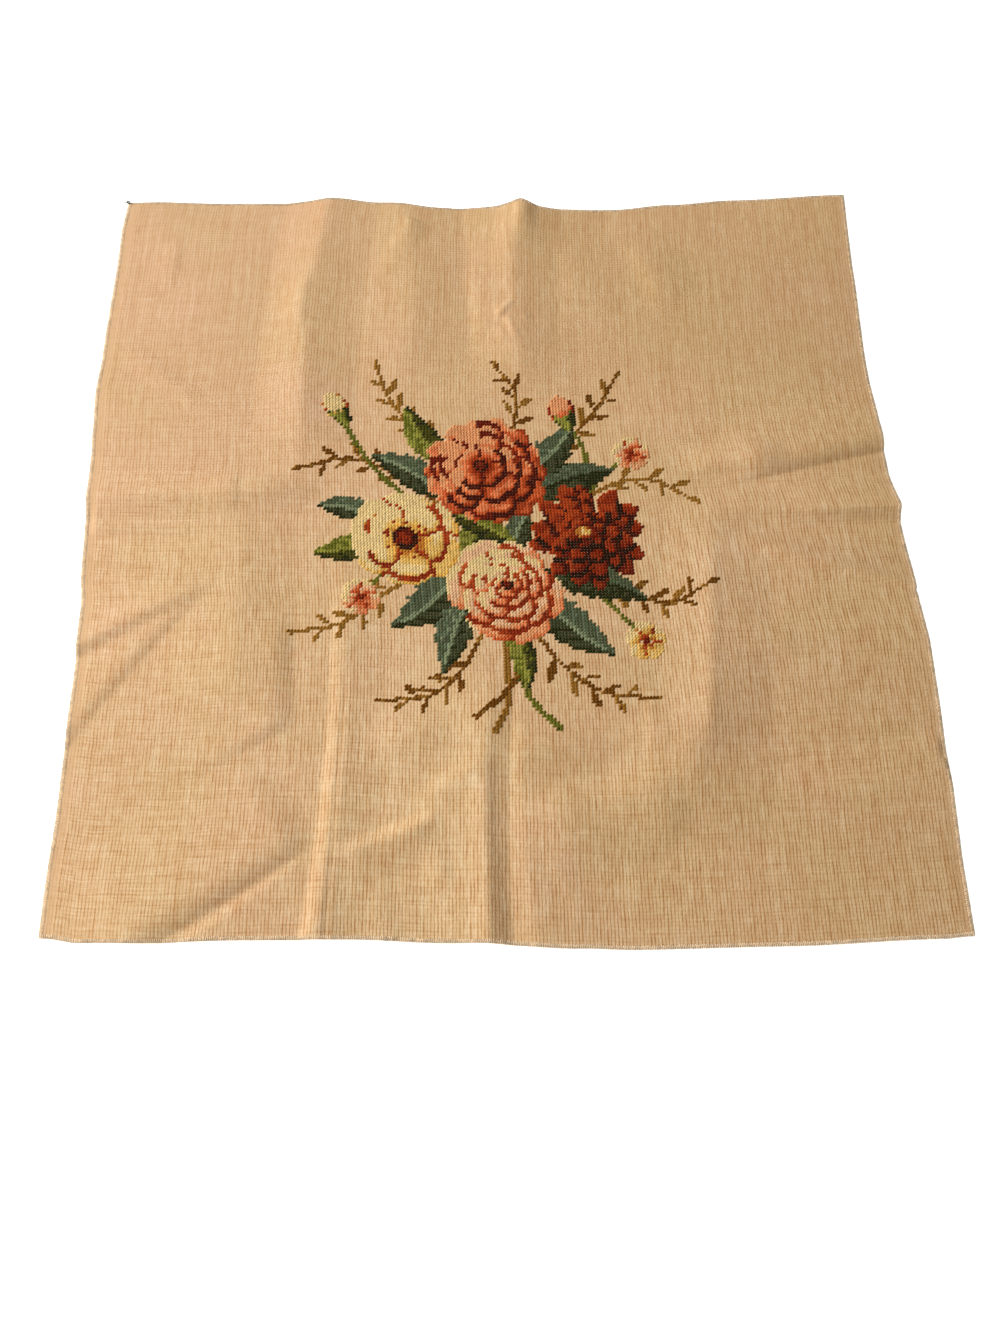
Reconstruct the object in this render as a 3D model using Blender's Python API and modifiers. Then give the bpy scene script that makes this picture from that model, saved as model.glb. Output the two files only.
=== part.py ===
"""Needlepoint canvas panel: one square of double-thread canvas lying loose on a surface.

The cloth is a single sheet. It is cut nearly square, its edges wander a few
millimetres, and it keeps the soft ridges and creases of having been folded away.
Between those folds the underside is flat and touches the surface at Z = 0.

Units are metres, +Z up, X across the panel, Y from its near edge to its far edge.
The origin is under the middle of the panel, on the surface it lies on.
"""

import math

import bmesh
import bpy
from mathutils import Matrix, Vector

MM = 0.001

# ---- driving dimensions -------------------------------------------------
SHEET_THICKNESS = 1.5 * MM      # double-thread canvas, flattened wool included
CREST_ROUNDING = 0.10           # share of a flank over which a crest is rounded
FOOT_POWER = 1.25               # how softly a flank runs out into the flat
FINE_STEP = 5.5 * MM            # grid step over the narrow folds
COARSE_STEP = 17.0 * MM         # grid step over the flat parts

# Bands of the panel where the grid is fine, because narrow folds run there.
# axis, from, to, step (all in millimetres)
FINE_BANDS = [
    ("x", -146.0, -112.0, 8.0),
    ("x", -24.0, 40.0, 6.4),
    ("x", 148.0, 176.0, 9.3),
    ("y", -10.0, 80.0, 8.0),
    ("y", -125.0, -95.0, 10.0),
    ("y", -215.0, -180.0, 11.6),
]

# The four edges, each as its own short table, in millimetres.
# Columns: along the edge, where the edge is.
LEFT_EDGE = [            # y, x
    (330.0, -328.5),
    (285.0, -332.6),
    (160.0, -335.4),
    (122.0, -337.3),
    (84.0, -335.4),
    (60.0, -334.0),
    (0.0, -331.6),
    (-45.0, -329.4),
    (-78.0, -326.0),
    (-130.0, -325.0),
    (-240.0, -325.2),
    (-285.0, -326.5),
    (-330.0, -326.8),
]
RIGHT_EDGE = [           # y, x
    (330.0, 319.0),
    (240.0, 318.6),
    (150.0, 316.9),
    (92.0, 318.3),
    (40.0, 321.0),
    (5.0, 324.2),
    (-60.0, 327.5),
    (-110.0, 330.4),
    (-160.0, 331.5),
    (-235.0, 329.3),
    (-330.0, 329.6),
]
FAR_EDGE = [             # x, y
    (-332.0, 323.0),
    (-292.0, 324.4),
    (-212.0, 324.2),
    (-135.0, 323.8),
    (-103.0, 321.6),
    (-48.0, 317.4),
    (22.0, 316.8),
    (62.0, 313.8),
    (90.0, 314.2),
    (115.0, 315.0),
    (170.0, 320.4),
    (226.0, 325.0),
    (322.0, 326.4),
]
NEAR_EDGE = [            # x, y
    (-328.0, -320.8),
    (-300.0, -324.4),
    (-256.0, -325.4),
    (-200.0, -324.3),
    (-117.0, -325.0),
    (-33.0, -328.8),
    (51.0, -333.8),
    (90.0, -335.2),
    (200.0, -334.4),
    (305.0, -331.2),
    (331.0, -329.6),
]

# The folds. Each row is one crest, as a line from (x0, y0) to (x1, y1) with its
# middle pushed sideways by bow. left and right are the widths of its two flanks,
# seen walking from the first point to the second. h0 and h1 are its heights at
# the two ends, and in0 and in1 the lengths over which it rises from nothing
# there (0 where it runs off the edge of the cloth). All in millimetres. crisp is over 0
# where the left flank ends in a sharp foot, under 0 where the right one does, else 0;
# its size tells how much that flank steepens toward the foot.
#  name               x0      y0      x1      y1     bow   left  right   h0   h1    in0    in1 crisp
FOLDS = [
    ("far left",       -145.6,  336.2, -159.0,   11.7, -10.5,  46.7,  40.5,  6.5,  6.6,   0.0, 120.0,  0),
    ("far left 2",      -84.8,  332.8,  -86.0,   99.8,  13.8,  50.5,  82.5,  4.6,  4.4,   0.0,  90.0,  0),
    ("far middle",       27.3,  337.4,   12.0,  223.0,   1.6,  76.9,  22.4,  5.2,  2.4,   0.0,  80.0,  0),
    ("far middle 2",     11.8,  337.9,   22.7,  104.1,  -0.8,  50.5,  43.0,  4.1,  6.0,   0.0,  80.0,  0),
    ("far corner",      338.0,  345.5,  201.2,  345.0,   0.0,  94.1,  40.0,  6.4,  2.2,   0.0, 110.0,  0),
    ("far left edge",  -345.0,  343.8, -235.4,  346.0,   1.9,  40.0,  80.1,  4.6,  3.9,   0.0,  90.0,  0),
    ("right crease",    352.3,   83.0,  178.5,   41.8,  -0.6,  13.6,  52.5,  6.3,  5.0,   0.0,  45.0,  2.3),
    ("right crease 2",  341.1,    7.1,  181.9,   -0.1,  -2.3,  12.3,  37.2,  7.6,  0.2,   0.0,  80.0,  0),
    ("right crease 3",  337.6,  -68.0,  165.4,  -14.1,  -1.7,  33.1,  12.2,  2.1,  2.7,   0.0,  80.0,  0),
    ("right long",      175.9,   43.0,  153.0, -198.4,  -1.2,  50.7,  38.1,  1.8,  7.5,  60.0,  40.0,  0),
    ("right long 2",    153.5, -152.4,  102.8, -271.2,   6.8,  66.7,  57.1,  7.4,  5.8,  50.0,  70.0,  0),
    ("near middle",      -5.9, -116.3,  -10.8, -344.4,  -5.6,  17.0,  44.8,  4.4,  4.8,  60.0,   0.0,  1.4),
    ("near middle 2",    16.5, -132.5,   24.7, -345.2,  -6.2,  62.9,  19.6,  2.7,  3.0,  60.0,   0.0,  0),
    ("near left",      -126.0,   -0.8, -136.4, -341.0,  11.2,  33.4,  12.0,  0.7,  5.5,  90.0,   0.0, -1.7),
    ("left long",      -208.0,   49.5, -200.4, -178.1,   0.1,  44.0,  64.5,  1.1,  5.9,  70.0,  60.0,  0),
    ("left slant",     -347.3, -116.8, -217.7,  -46.4,   1.4,  47.1,   9.6,  3.4,  2.8,   0.0,  60.0,  0),
    ("left slant 2",   -339.9, -192.2, -226.6,  -42.9,   5.0,  42.1,   9.8,  1.6,  2.2,   0.0,  60.0, -1.8),
    ("left slant 3",   -249.6, -209.3, -155.2, -156.1,  -0.3,  48.9,   9.8,  0.0,  3.2,  50.0,  30.0, -1.8),
    ("near slant",     -307.0, -343.8, -142.3, -242.2,  -1.2,  76.0,  17.0,  5.2,  4.2,  55.0,  26.0, -2.0),
    ("near slant 2",   -243.8, -338.6, -127.0, -256.1,  -1.8,   6.6,  54.3,  2.0,  1.1,   0.0,  40.0,  0),
    ("near slant 3",   -123.0, -267.3,  -43.4, -239.1,  -1.2,  10.0,  27.0,  3.0,  6.2,  20.0,  24.0,  0),
    ("near slant 4",    -77.9, -241.4,   -6.0, -194.1,   0.7,  11.9,  16.1,  0.0,  2.5,  30.0,  30.0,  0),
    ("left half",      -350.1,   23.9, -137.2,   29.1,   0.1,  26.1,  21.7,  4.1,  6.2,   0.0,  60.0,  0),
    ("left half low",  -350.0,  -26.7, -169.4,  -26.0,  -3.4,  14.7,  48.0,  1.6,  0.0,   0.0,  60.0,  0),
    ("right half",      146.0, -102.8,  346.3, -111.1,   3.4,  48.8,  62.1,  1.7,  4.4,  50.0,   0.0,  0),
    ("right half 2",    144.4, -221.8,  344.7, -224.3,   0.5,  31.5,  58.7,  0.9,  4.7,  60.0,   0.0,  0),
    ("middle half",      -2.0, -187.9,  120.0, -188.6,  -0.9,  21.8,  14.3,  2.7,  0.0,  40.0,  40.0,  0),
    ("left half 2",    -107.6, -177.1,  -33.7, -181.8,  -1.3,  36.2,  28.4,  2.9,  3.5,  30.0,  30.0,  0),
    ("left long 2",    -176.8,  -69.2, -166.7, -184.8,  -2.3,  15.2,  25.9,  2.5,  1.5,  40.0,  40.0,  1.7),
]


def between(rows, at):
    """Where an edge is at one place along it, eased from row to row."""
    rows = sorted(rows)
    if at <= rows[0][0]:
        return rows[0][1]
    for (a, va), (b, vb) in zip(rows, rows[1:]):
        if at <= b:
            t = (at - a) / (b - a)
            t = t * t * (3.0 - 2.0 * t)
            return va + (vb - va) * t
    return rows[-1][1]


def ease(t):
    t = min(max(t, 0.0), 1.0)
    return t * t * (3.0 - 2.0 * t)


def flank(u):
    """Height share at u flank widths from a crest: 1 on it, 0 at the foot and past it."""
    if u >= 1.0:
        return 0.0
    r = CREST_ROUNDING
    fall = (math.sqrt(u * u + r * r) - r) / (math.sqrt(1.0 + r * r) - r)
    return max(0.0, 1.0 - fall) ** FOOT_POWER


def crisp_flank(u, power):
    """Height of a flank that steepens toward a sharp foot, 1 at the crest, 0 at the foot."""
    return max(0.0, 1.0 - u ** power)


def relief(x, y):
    """Height of the underside above the surface at a place of the plan, in millimetres."""
    z = 0.0
    for _, x0, y0, x1, y1, bow, left, right, h0, h1, in0, in1, crisp in FOLDS:
        dx, dy = x1 - x0, y1 - y0
        length = math.hypot(dx, dy)
        ux, uy = dx / length, dy / length
        along = (x - x0) * ux + (y - y0) * uy
        if along < -1.0 or along > length + 1.0:
            continue
        t = min(max(along / length, 0.0), 1.0)
        side = (y - y0) * ux - (x - x0) * uy - bow * 4.0 * t * (1.0 - t)
        width = left if side > 0.0 else right
        u = abs(side) / width
        share = crisp_flank(u, abs(crisp)) if side * crisp > 0.0 else flank(u)
        if share <= 0.0:
            continue
        rise = 1.0
        if in0 > 0.0:
            rise *= ease(along / in0)
        if in1 > 0.0:
            rise *= ease((length - along) / in1)
        z += (h0 + (h1 - h0) * t) * share * rise
    return z


def grid_lines(axis, low, high):
    """Places of the grid lines along one axis: fine over the narrow folds, coarse elsewhere."""
    bands = sorted((a, b, s) for n, a, b, s in FINE_BANDS if n == axis)
    stops, at = [low], low
    for a, b, step in bands + [(high, high, COARSE_STEP / MM)]:
        count = max(1, round((a - at) / (COARSE_STEP / MM)))
        stops += [at + (a - at) * i / count for i in range(1, count + 1)]
        if b > a:
            count = max(1, round((b - a) / step))
            stops += [a + (b - a) * i / count for i in range(1, count + 1)]
        at = b
    return stops


def plan(s, t):
    """Place in the plan of a share s across and t up the panel, from its four edges."""
    x = -330.0 + 660.0 * s
    y = -328.0 + 650.0 * t
    xl, xr = between(LEFT_EDGE, y), between(RIGHT_EDGE, y)
    yn, yf = between(NEAR_EDGE, x), between(FAR_EDGE, x)
    return xl + (xr - xl) * s, yn + (yf - yn) * t


def clear_scene():
    for obj in list(bpy.data.objects):
        bpy.data.objects.remove(obj, do_unlink=True)


def canvas_material():
    mat = bpy.data.materials.new("canvas")
    mat.use_nodes = True
    shader = mat.node_tree.nodes["Principled BSDF"]
    shader.inputs["Base Color"].default_value = (0.56, 0.38, 0.22, 1.0)
    shader.inputs["Roughness"].default_value = 0.9
    shader.inputs["Metallic"].default_value = 0.0
    return mat


def build_canvas(collection):
    across = grid_lines("x", -330.0, 330.0)
    up = grid_lines("y", -328.0, 322.0)
    bm = bmesh.new()
    bmesh.ops.create_grid(
        bm, x_segments=len(across) - 1, y_segments=len(up) - 1, size=1.0
    )
    bm.verts.ensure_lookup_table()
    for v in bm.verts:
        i = round((v.co.x + 1.0) / 2.0 * (len(across) - 1))
        j = round((v.co.y + 1.0) / 2.0 * (len(up) - 1))
        x, y = plan((across[i] + 330.0) / 660.0, (up[j] + 328.0) / 650.0)
        v.co = Vector((x, y, relief(x, y))) * MM
    bmesh.ops.recalc_face_normals(bm, faces=bm.faces)
    if sum(f.normal.z for f in bm.faces) < 0.0:
        bmesh.ops.reverse_faces(bm, faces=bm.faces)
    mesh = bpy.data.meshes.new("canvas")
    bm.to_mesh(mesh)
    bm.free()

    panel = bpy.data.objects.new("canvas", mesh)
    collection.objects.link(panel)
    panel.data.materials.append(canvas_material())

    # The grid is the underside, so the cloth's thickness goes upwards from it.
    shell = panel.modifiers.new("thickness", "SOLIDIFY")
    shell.thickness = SHEET_THICKNESS
    shell.offset = 1.0
    shell.use_even_offset = True
    shell.use_rim = True

    # Centre the finished sheet on its own box, over the origin.
    bpy.context.view_layer.update()
    shown = panel.evaluated_get(bpy.context.evaluated_depsgraph_get())
    corners = [Vector(c) for c in shown.bound_box]
    mid_x = (min(c.x for c in corners) + max(c.x for c in corners)) / 2.0
    mid_y = (min(c.y for c in corners) + max(c.y for c in corners)) / 2.0
    mesh.transform(Matrix.Translation((-mid_x, -mid_y, 0.0)))
    return panel


def main():
    clear_scene()
    collection = bpy.data.collections.new("needlepoint_canvas_panel")
    bpy.context.scene.collection.children.link(collection)
    build_canvas(collection)


main()
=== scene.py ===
"""Looks of the needlepoint canvas panel: the woven double-thread canvas with its folds,
the overcast edges, and a bouquet worked stitch by stitch in tapestry wool.

Everything is in metres in the row frame. Millimetres are used in the tables, and
mesh units, one double-thread mesh each, in the chart of the bouquet.
"""

import math

import bpy
import numpy as np
from mathutils import Matrix, Vector


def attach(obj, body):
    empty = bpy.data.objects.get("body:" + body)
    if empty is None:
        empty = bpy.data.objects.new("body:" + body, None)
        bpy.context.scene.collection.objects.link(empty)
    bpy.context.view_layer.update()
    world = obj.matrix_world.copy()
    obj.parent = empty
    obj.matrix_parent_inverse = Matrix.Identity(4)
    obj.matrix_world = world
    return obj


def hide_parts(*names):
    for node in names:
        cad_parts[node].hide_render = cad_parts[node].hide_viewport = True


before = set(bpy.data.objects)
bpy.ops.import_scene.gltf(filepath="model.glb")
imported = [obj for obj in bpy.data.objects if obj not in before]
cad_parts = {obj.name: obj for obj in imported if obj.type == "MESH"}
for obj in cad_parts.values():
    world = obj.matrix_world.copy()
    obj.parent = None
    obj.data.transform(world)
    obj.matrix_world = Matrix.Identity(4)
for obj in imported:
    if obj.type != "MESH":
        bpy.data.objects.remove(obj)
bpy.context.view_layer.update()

MM = 0.001

# ---- cloth -----------------------------------------------------------------
MESHES_ACROSS, MESHES_UP = 259, 256     # double-thread meshes, 10 to the inch
UNDER_GAP = 0.25                        # mm, underside of the canvas over the fold surface
CANVAS_THICKNESS = 0.75                 # mm, of the bare canvas
CELLS_ACROSS, CELLS_UP = 280, 264       # cells of the cloth's top face, both even
CANVAS_WARM, CANVAS_YELLOW, CANVAS_PINK = (228, 186, 142), (225, 186, 138), (230, 185, 145)
CREST_ROUNDING = 0.10
FOOT_POWER = 1.25

# The four edges, in millimetres: along the edge, where the edge is.
LEFT_EDGE = [            # y, x
    (330.0, -328.5),
    (285.0, -332.6),
    (160.0, -335.4),
    (122.0, -337.3),
    (84.0, -335.4),
    (60.0, -334.0),
    (0.0, -331.6),
    (-45.0, -329.4),
    (-78.0, -326.0),
    (-130.0, -325.0),
    (-240.0, -325.2),
    (-285.0, -326.5),
    (-330.0, -326.8),
]
RIGHT_EDGE = [           # y, x
    (330.0, 319.0),
    (240.0, 318.6),
    (150.0, 316.9),
    (92.0, 318.3),
    (40.0, 321.0),
    (5.0, 324.2),
    (-60.0, 327.5),
    (-110.0, 330.4),
    (-160.0, 331.5),
    (-235.0, 329.3),
    (-330.0, 329.6),
]
FAR_EDGE = [             # x, y
    (-332.0, 323.0),
    (-292.0, 324.4),
    (-212.0, 324.2),
    (-135.0, 323.8),
    (-103.0, 321.6),
    (-48.0, 317.4),
    (22.0, 316.8),
    (62.0, 313.8),
    (90.0, 314.2),
    (115.0, 315.0),
    (170.0, 320.4),
    (226.0, 325.0),
    (322.0, 326.4),
]
NEAR_EDGE = [            # x, y
    (-328.0, -320.8),
    (-300.0, -324.4),
    (-256.0, -325.4),
    (-200.0, -324.3),
    (-117.0, -325.0),
    (-33.0, -328.8),
    (51.0, -333.8),
    (90.0, -335.2),
    (200.0, -334.4),
    (305.0, -331.2),
    (331.0, -329.6),
]

# The folds, as in the solid: one crest each, its two flanks, heights and run-outs, and
# which flank ends in a sharp foot (over 0 left, under 0 right), and how it steepens there.
#  name               x0      y0      x1      y1     bow   left  right   h0   h1    in0    in1 crisp
FOLDS = [
    ("far left",       -145.6,  336.2, -159.0,   11.7, -10.5,  46.7,  40.5,  6.5,  6.6,   0.0, 120.0,  0),
    ("far left 2",      -84.8,  332.8,  -86.0,   99.8,  13.8,  50.5,  82.5,  4.6,  4.4,   0.0,  90.0,  0),
    ("far middle",       27.3,  337.4,   12.0,  223.0,   1.6,  76.9,  22.4,  5.2,  2.4,   0.0,  80.0,  0),
    ("far middle 2",     11.8,  337.9,   22.7,  104.1,  -0.8,  50.5,  43.0,  4.1,  6.0,   0.0,  80.0,  0),
    ("far corner",      338.0,  345.5,  201.2,  345.0,   0.0,  94.1,  40.0,  6.4,  2.2,   0.0, 110.0,  0),
    ("far left edge",  -345.0,  343.8, -235.4,  346.0,   1.9,  40.0,  80.1,  4.6,  3.9,   0.0,  90.0,  0),
    ("right crease",    352.3,   83.0,  178.5,   41.8,  -0.6,  13.6,  52.5,  6.3,  5.0,   0.0,  45.0,  2.3),
    ("right crease 2",  341.1,    7.1,  181.9,   -0.1,  -2.3,  12.3,  37.2,  7.6,  0.2,   0.0,  80.0,  0),
    ("right crease 3",  337.6,  -68.0,  165.4,  -14.1,  -1.7,  33.1,  12.2,  2.1,  2.7,   0.0,  80.0,  0),
    ("right long",      175.9,   43.0,  153.0, -198.4,  -1.2,  50.7,  38.1,  1.8,  7.5,  60.0,  40.0,  0),
    ("right long 2",    153.5, -152.4,  102.8, -271.2,   6.8,  66.7,  57.1,  7.4,  5.8,  50.0,  70.0,  0),
    ("near middle",      -5.9, -116.3,  -10.8, -344.4,  -5.6,  17.0,  44.8,  4.4,  4.8,  60.0,   0.0,  1.4),
    ("near middle 2",    16.5, -132.5,   24.7, -345.2,  -6.2,  62.9,  19.6,  2.7,  3.0,  60.0,   0.0,  0),
    ("near left",      -126.0,   -0.8, -136.4, -341.0,  11.2,  33.4,  12.0,  0.7,  5.5,  90.0,   0.0, -1.7),
    ("left long",      -208.0,   49.5, -200.4, -178.1,   0.1,  44.0,  64.5,  1.1,  5.9,  70.0,  60.0,  0),
    ("left slant",     -347.3, -116.8, -217.7,  -46.4,   1.4,  47.1,   9.6,  3.4,  2.8,   0.0,  60.0,  0),
    ("left slant 2",   -339.9, -192.2, -226.6,  -42.9,   5.0,  42.1,   9.8,  1.6,  2.2,   0.0,  60.0, -1.8),
    ("left slant 3",   -249.6, -209.3, -155.2, -156.1,  -0.3,  48.9,   9.8,  0.0,  3.2,  50.0,  30.0, -1.8),
    ("near slant",     -307.0, -343.8, -142.3, -242.2,  -1.2,  76.0,  17.0,  5.2,  4.2,  55.0,  26.0, -2.0),
    ("near slant 2",   -243.8, -338.6, -127.0, -256.1,  -1.8,   6.6,  54.3,  2.0,  1.1,   0.0,  40.0,  0),
    ("near slant 3",   -123.0, -267.3,  -43.4, -239.1,  -1.2,  10.0,  27.0,  3.0,  6.2,  20.0,  24.0,  0),
    ("near slant 4",    -77.9, -241.4,   -6.0, -194.1,   0.7,  11.9,  16.1,  0.0,  2.5,  30.0,  30.0,  0),
    ("left half",      -350.1,   23.9, -137.2,   29.1,   0.1,  26.1,  21.7,  4.1,  6.2,   0.0,  60.0,  0),
    ("left half low",  -350.0,  -26.7, -169.4,  -26.0,  -3.4,  14.7,  48.0,  1.6,  0.0,   0.0,  60.0,  0),
    ("right half",      146.0, -102.8,  346.3, -111.1,   3.4,  48.8,  62.1,  1.7,  4.4,  50.0,   0.0,  0),
    ("right half 2",    144.4, -221.8,  344.7, -224.3,   0.5,  31.5,  58.7,  0.9,  4.7,  60.0,   0.0,  0),
    ("middle half",      -2.0, -187.9,  120.0, -188.6,  -0.9,  21.8,  14.3,  2.7,  0.0,  40.0,  40.0,  0),
    ("left half 2",    -107.6, -177.1,  -33.7, -181.8,  -1.3,  36.2,  28.4,  2.9,  3.5,  30.0,  30.0,  0),
    ("left long 2",    -176.8,  -69.2, -166.7, -184.8,  -2.3,  15.2,  25.9,  2.5,  1.5,  40.0,  40.0,  1.7),
]

# Fine creases and crumples of the canvas, one rounded ridge each, with the same columns.
FINE_CREASES = [
    ("far arc",         -48.5,  297.7,  -19.3,  145.5,  -7.3,  15.9,  23.1,  0.4,  0.0,  65.0,  65.0,  0),
    ("far a",          -164.4,  253.3, -169.7,  171.1,  -1.6,   9.0,  20.2,  1.9,  1.5,  31.0,  31.0,  0),
    ("far b",           -21.0,  275.3,   -9.4,  168.2,  -0.5,  19.9,  10.2,  0.1,  1.3,  45.0,  45.0,  0),
    ("far c",            63.9,  300.6,   62.8,  141.5,   5.2,  47.9,  14.5,  1.4,  0.9,  65.0,  65.0,  0),
    ("far d",           118.0,  294.3,  152.5,  192.2,   6.5,  37.3,  20.5,  1.6,  1.7,  43.0,  43.0,  0),
    ("far f",           -72.8,  300.6, -106.9,  222.3,   0.1,  17.5,  11.8,  1.3,  0.1,   0.0,  36.0,  0),
    ("far g",          -280.0,  291.2, -287.1,  216.3,  -0.9,   8.2,  19.5,  1.3,  0.1,  31.0,  31.0,  0),
    ("scratch",        -326.4,  174.9, -227.3,   95.5,   0.8,  13.3,  15.0,  1.4,  0.3,  52.0,  52.0,  0),
    ("left a",         -217.3,   52.6, -214.4,    3.7,  -1.9,   9.6,  28.7,  1.0,  1.3,  18.0,  18.0,  0),
    ("left half",      -324.6,   -1.8, -142.8,   -9.2,   3.6,  34.3,   8.3,  1.5,  0.1,   0.0,  76.0,  0),
    ("crease a",        147.7,   48.2,  244.4,   58.1,   0.8,  25.7,  13.9,  3.9,  2.9,  39.0,  39.0,  0),
    ("crease b",        155.9,    8.0,  312.4,    4.0,   1.7,  27.5,   6.6,  4.0,  0.0,  64.0,   0.0,  0),
    ("right a",         181.5, -114.5,  232.1, -116.5,   2.7,  34.5,   6.5,  0.2,  1.5,  23.0,  23.0,  0),
    ("right b",         198.3, -202.7,  326.0, -191.7,  -2.4,  12.2,  32.9,  0.0,  2.0,  54.0,   0.0,  0),
    ("right c",         113.2, -127.7,  109.7, -212.3,   0.6,  16.9,   7.2,  0.7,  1.0,  35.0,  35.0,  0),
    ("right d",         111.8, -199.8,  122.5, -270.0,  -1.6,  20.7,  25.4,  2.4,  1.5,  25.0,  25.0,  0),
    ("near a",          -63.3, -212.7,  -31.3, -276.4,   0.0,  25.0,  12.0,  1.7,  0.1,  30.0,  30.0,  0),
    ("near b",            7.2, -239.1,  126.2, -220.1,  -4.7,  26.7,  54.2,  4.3,  5.1,  42.0,  42.0,  0),
    ("near c",           25.8, -261.3,   49.6, -316.9,   3.9,  15.2,   6.9,  0.7,  0.3,  26.0,   0.0,  0),
    ("near d",          -50.1, -252.7,  -44.9, -300.5,  -0.2,  10.7,  17.5,  1.8,  1.0,  19.0,  19.0,  0),
    ("near e",          -98.5, -262.9,  -85.9, -325.5,  -1.6,  17.1,  28.9,  1.2,  1.4,  26.0,   0.0,  0),
    ("far hump",         27.0,  337.0,   25.0,  262.0,   0.0,  15.0,  13.0,  3.8,  0.6,   0.0,  50.0,  0),
    ("crumple a",        -3.6,  214.1,    9.2,  192.7,   2.3,  12.1,  11.9,  0.6,  2.0,  12.0,  12.0,  0),
    ("crumple c",         2.5,  184.4,   12.7,  168.9,  -1.1,   6.5,   9.4,  0.6,  0.5,   8.0,   8.0,  0),
    ("crumple d",        16.2,  213.5,   -0.5,  195.4,   0.0,   4.6,   5.0,  1.0,  1.1,   5.0,   5.0,  0),
    ("crumple e",         8.4,  198.2,   17.8,  171.3,   0.8,   5.0,   4.6,  1.0,  0.9,   6.0,   6.0,  0),
    ("crumple f",        25.7,  199.0,   26.2,  190.5,   0.0,   4.4,   4.4,  0.9,  0.9,   3.4,   3.4,  0),
    ("crease c",        335.0,   10.0,  235.0,    5.5,   0.0,   7.0,   6.0,  0.9,  0.4,   0.0,  50.0,  0),
    ("crease d",        336.0,  -58.5,  188.0,  -19.5,   0.0,   8.6,  24.0,  2.2,  1.8,   0.0,  40.0,  2.4),
    ("right line",      336.0,  -67.0,  182.2,  -25.9,   0.0,   3.8,   3.8, -0.9, -0.7,   0.0,  30.0,  0),
    ("right ridge",     172.9,    5.7,  151.2, -201.0,   1.6,   7.5,  12.0,  0.35, 0.6,  60.0,  40.0,  0),
    ("near line",      -117.4, -110.0, -127.6, -332.0,   0.0,   3.2,   3.2, -0.5, -0.6,  50.0,   0.0,  0),
    ("near e2",         -12.5, -185.0,  -13.5, -344.0,   0.0,   6.0,  15.0,  1.0,  1.3,  40.0,   0.0,  0),
    ("near f",           -9.0, -250.0,   -9.0, -344.0,   0.0,   8.0,  10.0,  0.4,  1.2,  20.0,   0.0,  1.7),
]

# Where the cloth's cells are closer, for the sharpest creases, in millimetres of the plan.
CLOSE_X = [(-136.0, -114.0), (0.0, 20.0)]
CLOSE_Y = [(-8.0, 12.0), (30.0, 72.0)]
CLOSER = 0.7                            # how much closer they are there


def ease(t):
    t = np.clip(t, 0.0, 1.0)
    return t * t * (3.0 - 2.0 * t)


def between(rows, at):
    """Where an edge is at places along it, eased from row to row."""
    rows = sorted(rows)
    a = np.array([r[0] for r in rows])
    v = np.array([r[1] for r in rows])
    at = np.clip(at, a[0], a[-1])
    k = np.clip(np.searchsorted(a, at) - 1, 0, len(a) - 2)
    return v[k] + (v[k + 1] - v[k]) * ease((at - a[k]) / (a[k + 1] - a[k]))


def flank(u):
    r = CREST_ROUNDING
    fall = (np.sqrt(u * u + r * r) - r) / (math.sqrt(1.0 + r * r) - r)
    return np.where(u >= 1.0, 0.0, np.clip(1.0 - fall, 0.0, None) ** FOOT_POWER)


def crisp_flank(u, power):
    return np.clip(1.0 - u ** power, 0.0, None)


def soft_flank(u):
    return np.where(u >= 1.0, 0.0, (1.0 - u * u) ** 2)


def rise(x, y, table, profile):
    """Height in millimetres that the folds of one table give at places of the plan."""
    z = np.zeros(np.broadcast(x, y).shape)
    for _, x0, y0, x1, y1, bow, left, right, h0, h1, in0, in1, crisp in table:
        dx, dy = x1 - x0, y1 - y0
        length = math.hypot(dx, dy)
        ux, uy = dx / length, dy / length
        along = (x - x0) * ux + (y - y0) * uy
        t = np.clip(along / length, 0.0, 1.0)
        side = (y - y0) * ux - (x - x0) * uy - bow * 4.0 * t * (1.0 - t)
        u = np.abs(side) / np.where(side > 0.0, left, right)
        share = np.where(side * crisp > 0.0, crisp_flank(u, abs(crisp)), profile(u))
        share = np.where((along < -1.0) | (along > length + 1.0), 0.0, share)
        if in0 > 0.0:
            share = share * ease(along / in0)
        if in1 > 0.0:
            share = share * ease((length - along) / in1)
        z += (h0 + (h1 - h0) * t) * share
    return z


def relief(x, y):
    """Height of the fold surface above the ground, in millimetres."""
    return np.maximum(rise(x, y, FOLDS, flank) + rise(x, y, FINE_CREASES, soft_flank), 0.0)


def plan(s, t):
    """Place in the plan, in millimetres, of a share s across and t up the panel."""
    x = -330.0 + 660.0 * s
    y = -328.0 + 650.0 * t
    xl, xr = between(LEFT_EDGE, y), between(RIGHT_EDGE, y)
    yn, yf = between(NEAR_EDGE, x), between(FAR_EDGE, x)
    hump = 2.4 * np.exp(-((x - 26.0) / 12.0) ** 2) * ease((t - 0.90) / 0.10)
    return xl + (xr - xl) * s, yn + (yf - yn) * t + hump


# The panel is centred on its own box, as the solid is.
_s, _t = np.meshgrid(np.linspace(0.0, 1.0, 201), np.linspace(0.0, 1.0, 201))
_x, _y = plan(_s, _t)
MID_X, MID_Y = (_x.min() + _x.max()) / 2.0, (_y.min() + _y.max()) / 2.0


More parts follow.
